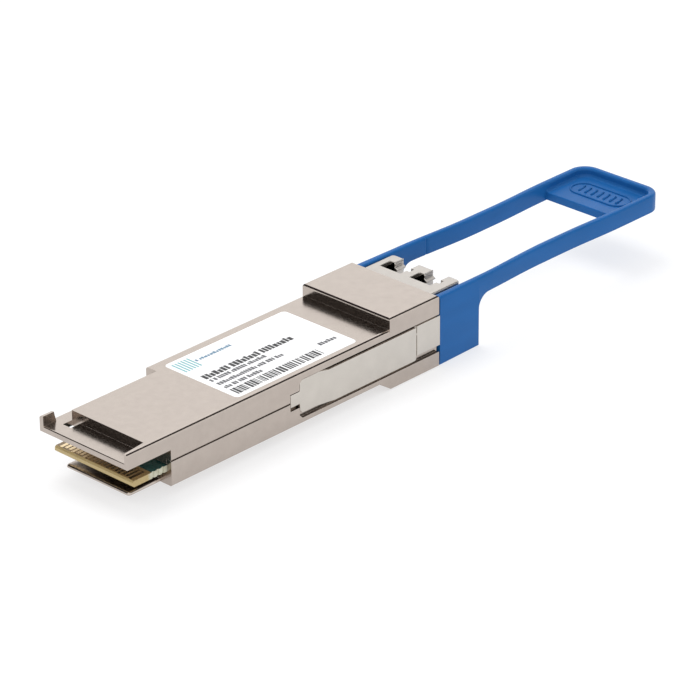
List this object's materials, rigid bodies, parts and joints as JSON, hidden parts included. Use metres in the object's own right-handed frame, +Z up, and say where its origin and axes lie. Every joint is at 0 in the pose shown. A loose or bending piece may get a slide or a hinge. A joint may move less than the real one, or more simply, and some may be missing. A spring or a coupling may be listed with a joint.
{
  "type": "optical transceiver module",
  "caption": "Pluggable duplex-fibre optical transceiver: two die-cast shells, a board with gold edge contacts, optics with fibre ports, and a latch slider worked by a looped pull tab.",
  "frame": {"origin": "middle of the host end, on the plane of the underside, where the module starts to enter its cage", "axes": "+X from the host end to the fibre ports and the pull tab, +Y towards the receive port, +Z up through the label side"},
  "size_m": [0.1204, 0.0184, 0.0121],
  "materials": {
    "cast_shell": "satin nickel plate on a fine-grained die casting",
    "cast_nose": "bead-blasted nickel plate",
    "latch_steel": "satin stainless spring sheet",
    "spring_steel": "drawn stainless wire",
    "blue_plastic": "satin moulded blue thermoplastic",
    "board_laminate": "green solder mask",
    "gold": "hard gold plate",
    "chip_black": "moulded epoxy",
    "ferrite": "pressed ferrite powder",
    "capacitor_ceramic": "fired ceramic",
    "crystal_can": "stamped metal can",
    "package_metal": "gold-plated kovar",
    "barrel_steel": "turned stainless steel",
    "zirconia": "ground white zirconia",
    "flex_film": "amber polyimide film",
    "thermal_gel": "soft gap-filler pad",
    "gasket_rubber": "conductive elastomer",
    "screw_steel": "zinc-plated steel",
    "label_film": "white printed polyester label"
  },
  "bodies": {
    "module": {"top_shell": "cast_shell", "bottom_shell": "cast_shell", "lc_receptacle": "cast_nose", "return_spring_tx_side": "spring_steel", "return_spring_rx_side": "spring_steel", "tx_barrel": "barrel_steel", "rx_barrel": "barrel_steel", "tx_sleeve": "zirconia", "rx_sleeve": "zirconia", "tx_fibre_stub": "zirconia", "rx_fibre_stub": "zirconia", "tx_flex": "flex_film", "rx_flex": "flex_film", "transmitter_package": "package_metal", "receiver_package": "package_metal", "barrel_clamp": "cast_shell", "circuit_board": "board_laminate", "contacts_top": "gold", "contacts_bottom": "gold", "retimer_chip": "chip_black", "controller_chip": "chip_black", "receive_amplifier_chip": "chip_black", "laser_driver_chip": "chip_black", "oscillator": "crystal_can", "power_inductors": "ferrite", "capacitors": "capacitor_ceramic", "retimer_thermal_pad": "thermal_gel", "tx_thermal_pad": "thermal_gel", "rx_thermal_pad": "thermal_gel", "shell_gaskets": "gasket_rubber", "nose_gaskets": "gasket_rubber", "housing_screws": "screw_steel", "clamp_screw": "screw_steel", "label": "label_film"},
    "latch": {"latch_slider": "latch_steel", "pull_tab": "blue_plastic"}
  },
  "joints": [
    {"name": "latch_release", "type": "slide", "parent": "module", "child": "latch", "axis": [1, 0, 0], "range_m": [0, 0.0028], "stiffness_N_per_m": 900, "springref_m": -0.002, "deforming": ["return_spring_tx_side", "return_spring_rx_side"]}
  ]
}
